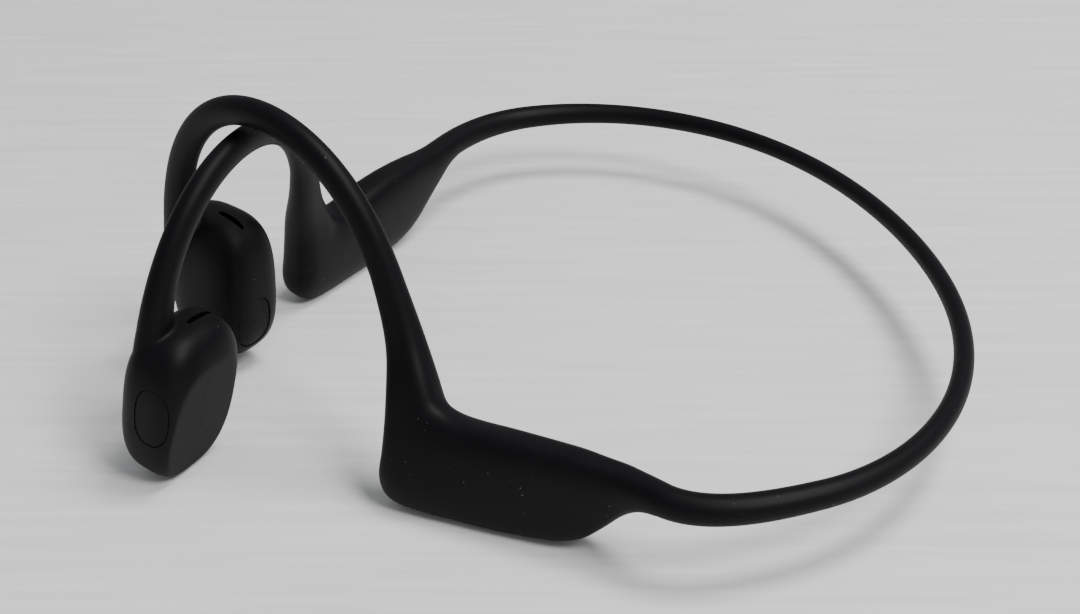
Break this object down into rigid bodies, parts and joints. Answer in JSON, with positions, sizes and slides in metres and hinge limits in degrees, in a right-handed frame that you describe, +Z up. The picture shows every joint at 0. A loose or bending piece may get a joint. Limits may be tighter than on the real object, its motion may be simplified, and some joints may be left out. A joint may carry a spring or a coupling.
{
  "type": "bone conduction headphones",
  "caption": "Open-ear bone conduction headphones: a springy wraparound neckband joins rear pods whose ear hooks end in oval earpieces, shown lying with the hooks crossed.",
  "frame": {"origin": "centre of the bounding box on the table plane the headset lies on", "axes": "+Z up; the wearer faces -Y and the neckband's rear is towards +Y; the wearer's left is +X"},
  "size_m": [0.1468, 0.1451, 0.059],
  "materials": {
    "silicone_skin": "matte black silicone, soft sheen",
    "housing": "fine satin black moulding",
    "contact_skin": "matte charcoal silicone skin pad",
    "speaker_mesh": "fine acoustic mesh",
    "titanium": "drawn spring wire",
    "copper": "enamelled copper winding",
    "plated_steel": "nickel plated",
    "cable_jacket": "insulated conductors",
    "circuit_board": "green solder mask",
    "battery_pouch": "foil pouch",
    "light_lens": "translucent white",
    "chip": "moulded black package"
  },
  "bodies": {
    "headset": {"battery_board": "circuit_board", "battery_cell": "battery_pouch", "charging_port_shell": "plated_steel", "charging_port_tongue": "chip", "left_air_speaker_diaphragm": "chip", "left_air_speaker_frame": "plated_steel", "left_air_speaker_magnet": "plated_steel", "left_bone_driver_coil": "copper", "left_bone_driver_magnet": "plated_steel", "left_bone_driver_plate": "plated_steel", "left_bone_driver_yoke": "plated_steel", "left_contact_pad": "contact_skin", "left_earpiece_board": "circuit_board", "left_earpiece_front_housing": "housing", "left_earpiece_rear_housing": "housing", "left_hook_signal_cable": "cable_jacket", "left_hook_sleeve": "silicone_skin", "left_hook_titanium_wire": "titanium", "left_microphone": "chip", "left_pod_inner_shell": "housing", "left_pod_outer_shell": "housing", "left_speaker_grille": "speaker_mesh", "main_board": "circuit_board", "multifunction_switch": "chip", "neckband_jacket": "silicone_skin", "neckband_signal_cable": "cable_jacket", "neckband_titanium_wire": "titanium", "power_chip": "chip", "radio_chip": "chip", "right_air_speaker_diaphragm": "chip", "right_air_speaker_frame": "plated_steel", "right_air_speaker_magnet": "plated_steel", "right_bone_driver_coil": "copper", "right_bone_driver_magnet": "plated_steel", "right_bone_driver_plate": "plated_steel", "right_bone_driver_yoke": "plated_steel", "right_contact_pad": "contact_skin", "right_earpiece_board": "circuit_board", "right_earpiece_front_housing": "housing", "right_earpiece_rear_housing": "housing", "right_hook_signal_cable": "cable_jacket", "right_hook_sleeve": "silicone_skin", "right_hook_titanium_wire": "titanium", "right_microphone": "chip", "right_oval_inlay": "housing", "right_pod_inner_shell": "housing", "right_pod_outer_shell": "housing", "right_speaker_grille": "speaker_mesh", "status_light": "light_lens", "volume_down_switch": "chip", "volume_up_switch": "chip"},
    "button": {"multifunction_button": "housing"},
    "volume_up": {"volume_up_key": "silicone_skin"},
    "volume_down": {"volume_down_key": "silicone_skin"}
  },
  "joints": [
    {"name": "multifunction_press", "type": "slide", "parent": "headset", "child": "button", "axis": [0.8294, 0.5566, -0.0473], "range_m": [0, 0.00035], "stiffness_N_per_m": 1500},
    {"name": "volume_up_press", "type": "slide", "parent": "headset", "child": "volume_up", "axis": [0.1634, 0.1452, 0.9758], "range_m": [0, 0.0004], "stiffness_N_per_m": 1200},
    {"name": "volume_down_press", "type": "slide", "parent": "headset", "child": "volume_down", "axis": [0.1634, 0.1452, 0.9758], "range_m": [0, 0.0004], "stiffness_N_per_m": 1200}
  ]
}
